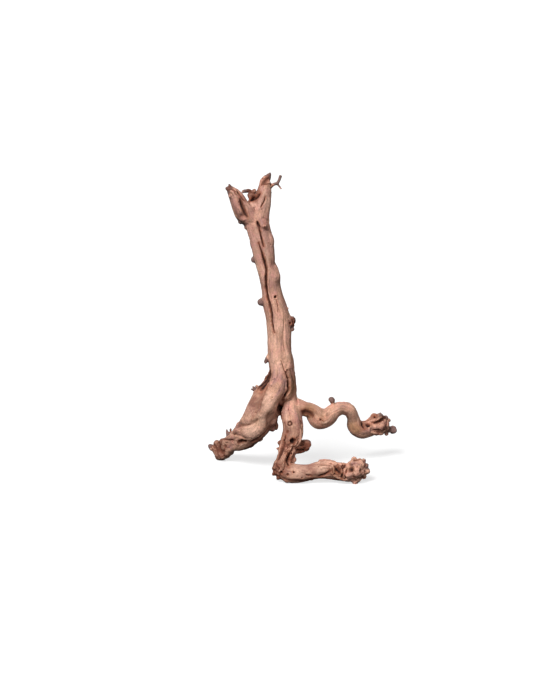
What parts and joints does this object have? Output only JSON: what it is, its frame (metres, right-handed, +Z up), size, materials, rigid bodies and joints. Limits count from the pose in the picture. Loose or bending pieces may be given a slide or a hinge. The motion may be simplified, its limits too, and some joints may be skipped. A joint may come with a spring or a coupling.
{
  "type": "dried vine root",
  "caption": "Dry, bark-free vine root that stands on its own legs: an upright trunk forks at the top, and a foot and a curling arm spread out at the base.",
  "frame": {"origin": "on the floor, under the middle of the root's bounding box", "axes": "+Z up the trunk; +X to the side that the long foot and the arm reach to; -Y to the side that the foot comes forward on; the thick leg and the arm lean back towards +Y"},
  "size_m": [0.3899, 0.2151, 0.6113],
  "materials": {
    "bare_wood": "bare, dry and sand-blasted"
  },
  "bodies": {
    "root": {"dry_root": "bare_wood"}
  },
  "joints": []
}
